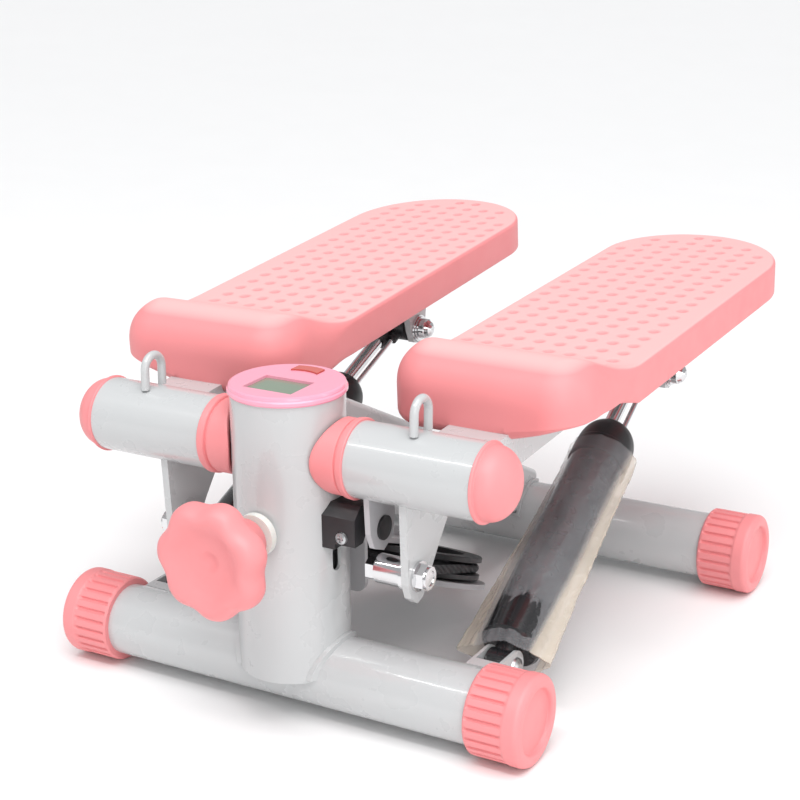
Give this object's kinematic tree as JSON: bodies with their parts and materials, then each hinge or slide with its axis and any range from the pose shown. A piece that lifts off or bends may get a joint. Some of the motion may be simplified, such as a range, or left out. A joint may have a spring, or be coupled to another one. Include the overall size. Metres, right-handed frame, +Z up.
{
  "type": "mini stepper",
  "caption": "Compact stepper: coupled foot pedals on a front pivot, hydraulic cylinders, rope pulley behind the display column, tension knob and tube feet.",
  "frame": {"origin": "on the floor, in the middle of the bounding box", "axes": "+Z up, +Y from the display column to the rear bar, +X to the right when looking along +Y"},
  "size_m": [0.3244, 0.4391, 0.1904],
  "materials": {
    "white_paint": "satin",
    "pink_plastic": "satin",
    "pink_tread": "satin",
    "pink_gloss": "gloss",
    "red_button": "gloss",
    "lcd": "gloss",
    "black_plastic": "satin",
    "black_steel": "gloss",
    "chrome": "polished",
    "zinc_steel": "satin",
    "grey_steel": "satin",
    "nylon": "satin",
    "black_rope": "matte",
    "clear_film": "gloss"
  },
  "bodies": {
    "frame": {"column_tube": "white_paint", "front_crossbar": "white_paint", "rear_crossbar": "white_paint", "main_beam": "white_paint", "foot_cap_front_right": "pink_plastic", "foot_cap_front_left": "pink_plastic", "foot_cap_rear_right": "pink_plastic", "foot_cap_rear_left": "pink_plastic", "weld_beads": "white_paint", "pivot_axle": "zinc_steel", "axle_nuts": "zinc_steel", "foot_bracket_right": "white_paint", "foot_bracket_left": "white_paint", "foot_pins": "zinc_steel", "display_housing": "pink_gloss", "display_screen": "lcd", "sensor_housing": "black_plastic", "sensor_screw": "zinc_steel", "adjuster_collar": "nylon", "guide_rod": "zinc_steel"},
    "display_button": {"display_button": "red_button"},
    "adjuster": {"adjuster_knob": "pink_plastic", "adjuster_stud": "zinc_steel"},
    "carriage": {"pulley_carriage": "grey_steel", "pulley_bolt": "zinc_steel", "balance_rope": "black_rope"},
    "pulley": {"rope_pulley": "black_plastic"},
    "pedal_right": {"sleeve_right": "white_paint", "inner_bush_right": "pink_plastic", "outer_bush_right": "nylon", "dome_cap_right": "pink_plastic", "eyelet_right": "white_paint", "pedal_arm_right": "white_paint", "pedal_cover_right": "pink_tread", "pedal_screws_right": "zinc_steel", "pedal_bolts_right": "chrome", "pedal_nuts_right": "chrome", "magnet_lug": "grey_steel", "magnet": "black_plastic"},
    "pedal_left": {"sleeve_left": "white_paint", "inner_bush_left": "pink_plastic", "outer_bush_left": "nylon", "dome_cap_left": "pink_plastic", "eyelet_left": "white_paint", "pedal_arm_left": "white_paint", "pedal_cover_left": "pink_tread", "pedal_screws_left": "zinc_steel", "pedal_bolts_left": "chrome", "pedal_nuts_left": "chrome"},
    "cylinder_right": {"cylinder_right": "black_steel", "cylinder_cap_right": "black_plastic", "cylinder_film": "clear_film"},
    "cylinder_left": {"cylinder_left": "black_steel", "cylinder_cap_left": "black_plastic"},
    "rod_right": {"rods_right": "chrome", "rod_yoke_right": "black_plastic"},
    "rod_left": {"rods_left": "chrome", "rod_yoke_left": "black_plastic"},
    "terminal_right": {"rope_terminal_right": "chrome"},
    "terminal_left": {"rope_terminal_left": "chrome"}
  },
  "joints": [
    {"name": "pedal_right_hinge", "type": "hinge", "parent": "frame", "child": "pedal_right", "pos_m": [0, -0.1436, 0.1404], "axis": [1, 0, 0], "range_deg": [-8, 8], "deforming": ["balance_rope"]},
    {"name": "pedal_left_hinge", "type": "hinge", "parent": "frame", "child": "pedal_left", "pos_m": [0, -0.1436, 0.1404], "axis": [1, 0, 0], "range_deg": [-8, 8]},
    {"name": "cylinder_right_swing", "type": "hinge", "parent": "frame", "child": "cylinder_right", "pos_m": [0.099, -0.1076, 0.028], "axis": [1, 0, 0], "range_deg": [-7.64, 7.64]},
    {"name": "rod_right_slide", "type": "slide", "parent": "cylinder_right", "child": "rod_right", "axis": [-0.0614, 0.9107, 0.4085], "range_m": [-0.01648, 0.01648]},
    {"name": "cylinder_left_swing", "type": "hinge", "parent": "frame", "child": "cylinder_left", "pos_m": [-0.099, -0.1076, 0.028], "axis": [1, 0, 0], "range_deg": [-7.57, 7.57]},
    {"name": "rod_left_slide", "type": "slide", "parent": "cylinder_left", "child": "rod_left", "axis": [0.0608, 0.9024, 0.4267], "range_m": [-0.01644, 0.01644]},
    {"name": "pulley_spin", "type": "hinge", "parent": "carriage", "child": "pulley", "pos_m": [0, -0.0336, 0.041], "axis": [0, 0.375, 0.927], "range_deg": [-9.98, 9.98]},
    {"name": "adjuster_turn", "type": "hinge", "parent": "frame", "child": "adjuster", "pos_m": [0, -0.2036, 0.1043], "axis": [0, 1, 0], "range_deg": [-722, 722]},
    {"name": "carriage_slide", "type": "slide", "parent": "frame", "child": "carriage", "axis": [0, 1, 0], "range_m": [-0.003, 0.003], "deforming": ["balance_rope"]},
    {"name": "display_button_press", "type": "slide", "parent": "frame", "child": "display_button", "axis": [0, 0, -1], "range_m": [0, 0.0006], "stiffness_N_per_m": 800},
    {"name": "terminal_right_swivel", "type": "hinge", "parent": "pedal_right", "child": "terminal_right", "pos_m": [0, -0.1436, 0.0855], "axis": [1, 0, 0], "range_deg": [-8.2, 8.2]},
    {"name": "terminal_left_swivel", "type": "hinge", "parent": "pedal_left", "child": "terminal_left", "pos_m": [0, -0.14243, 0.08551], "axis": [1, 0, 0], "range_deg": [-8.2, 8.2]}
  ],
  "couplings": [
    {"joint": "pedal_left_hinge", "follows": "pedal_right_hinge", "ratio": -1},
    {"joint": "cylinder_right_swing", "follows": "pedal_right_hinge", "ratio": 0.94561},
    {"joint": "rod_right_slide", "follows": "pedal_right_hinge", "m_per_rad": 0.11686},
    {"joint": "cylinder_left_swing", "follows": "pedal_right_hinge", "ratio": -0.93631},
    {"joint": "rod_left_slide", "follows": "pedal_right_hinge", "m_per_rad": -0.11659},
    {"joint": "pulley_spin", "follows": "pedal_right_hinge", "ratio": 1.223},
    {"joint": "adjuster_turn", "follows": "carriage_slide", "rad_per_m": -4188.8},
    {"joint": "terminal_right_swivel", "follows": "pedal_right_hinge", "ratio": -1},
    {"joint": "terminal_left_swivel", "follows": "pedal_right_hinge", "ratio": 1}
  ]
}
